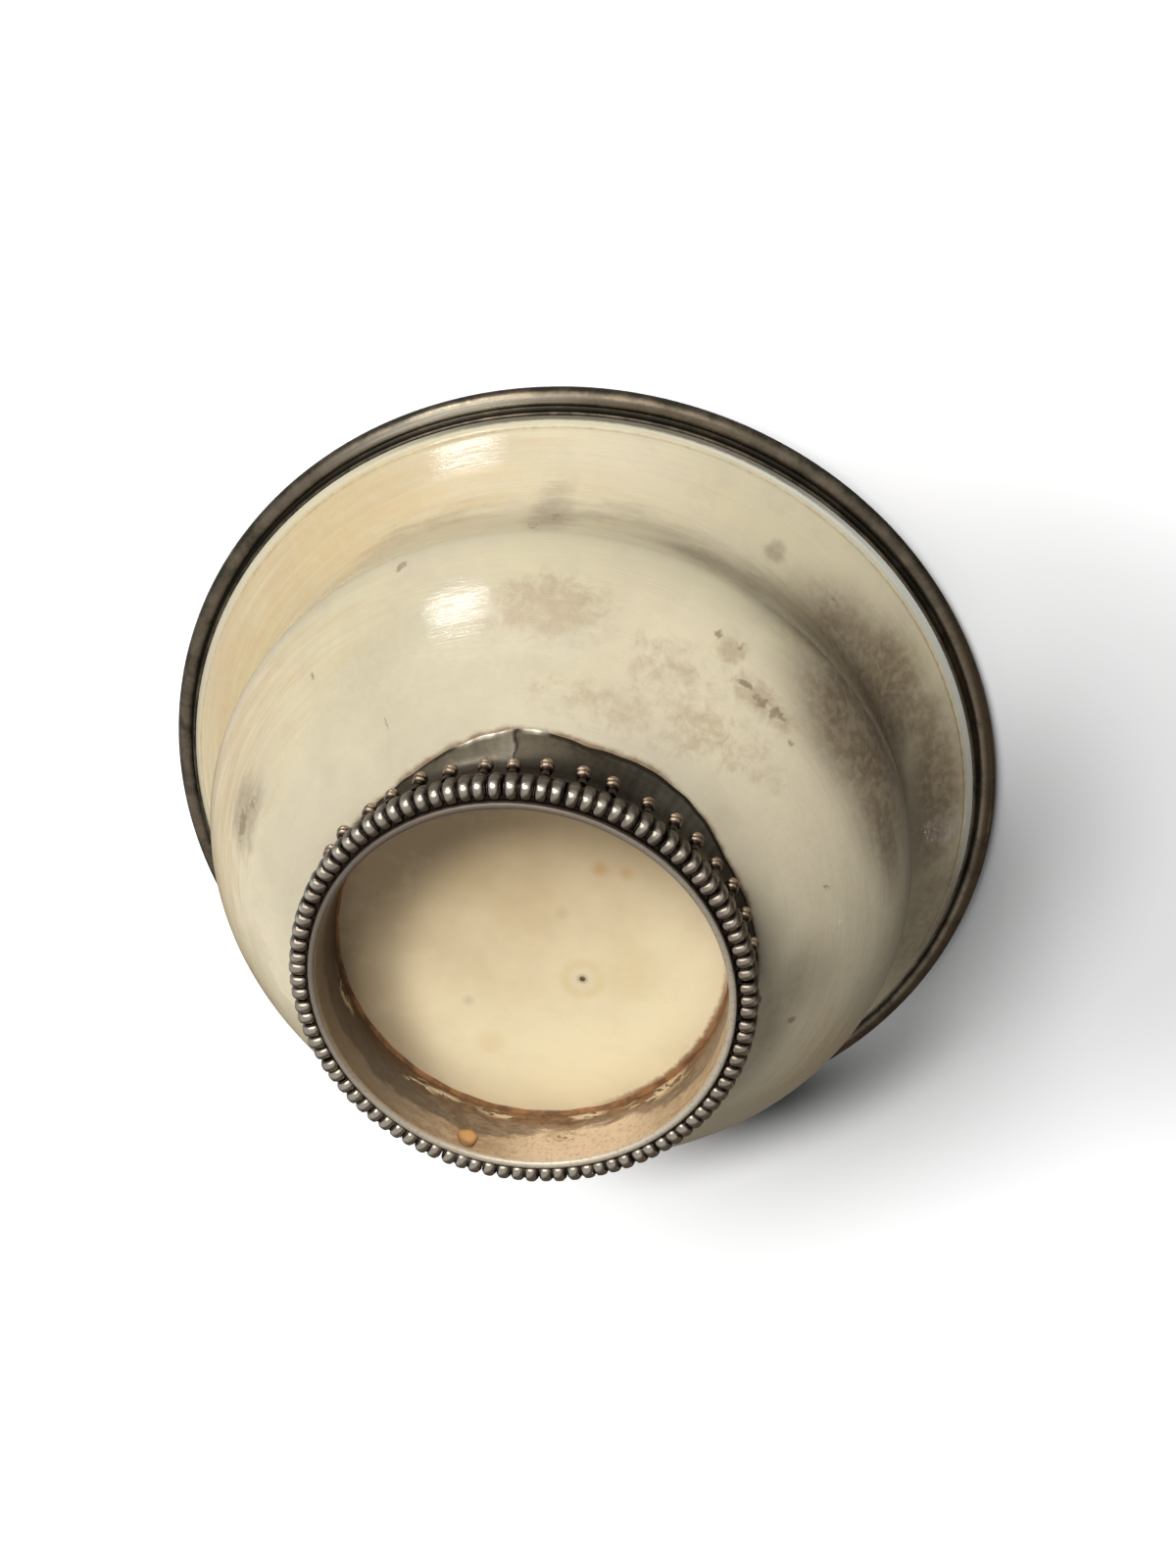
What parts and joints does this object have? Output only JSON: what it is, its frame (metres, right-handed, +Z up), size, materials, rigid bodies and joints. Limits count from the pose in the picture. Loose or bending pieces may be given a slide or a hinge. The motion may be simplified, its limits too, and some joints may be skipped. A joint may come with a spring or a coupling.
{
  "type": "bone ritual cup",
  "caption": "Turned bone ritual cup with full belly, shallow waist and flared lip, silver lining, rolled silver rim, and a foot with beaded wire and a gallery of small knobs.",
  "frame": {"origin": "centre of the face that the foot rests on, at the bottom of the cup", "axes": "+Z up through the foot and the mouth, on the axis that the bowl was turned on; +X and +Y are arbitrary"},
  "size_m": [0.12, 0.12, 0.0584],
  "materials": {
    "bone": "polished bone, cream with grey-brown stains",
    "lining_silver": "worn soft silver",
    "tarnished_silver": "dark tarnish with rubbed high spots",
    "gilt_silver": "coppery, thinly gilt and tarnished",
    "collar_silver": "dull dark sheet",
    "lac": "old brown lac"
  },
  "bodies": {
    "root": {"bone_bowl": "bone", "silver_lining": "lining_silver", "rim_band": "tarnished_silver", "foot_ring": "gilt_silver", "foot_lac": "lac", "beaded_wire": "tarnished_silver", "finial_gallery": "tarnished_silver", "foot_collar": "collar_silver"}
  },
  "joints": []
}
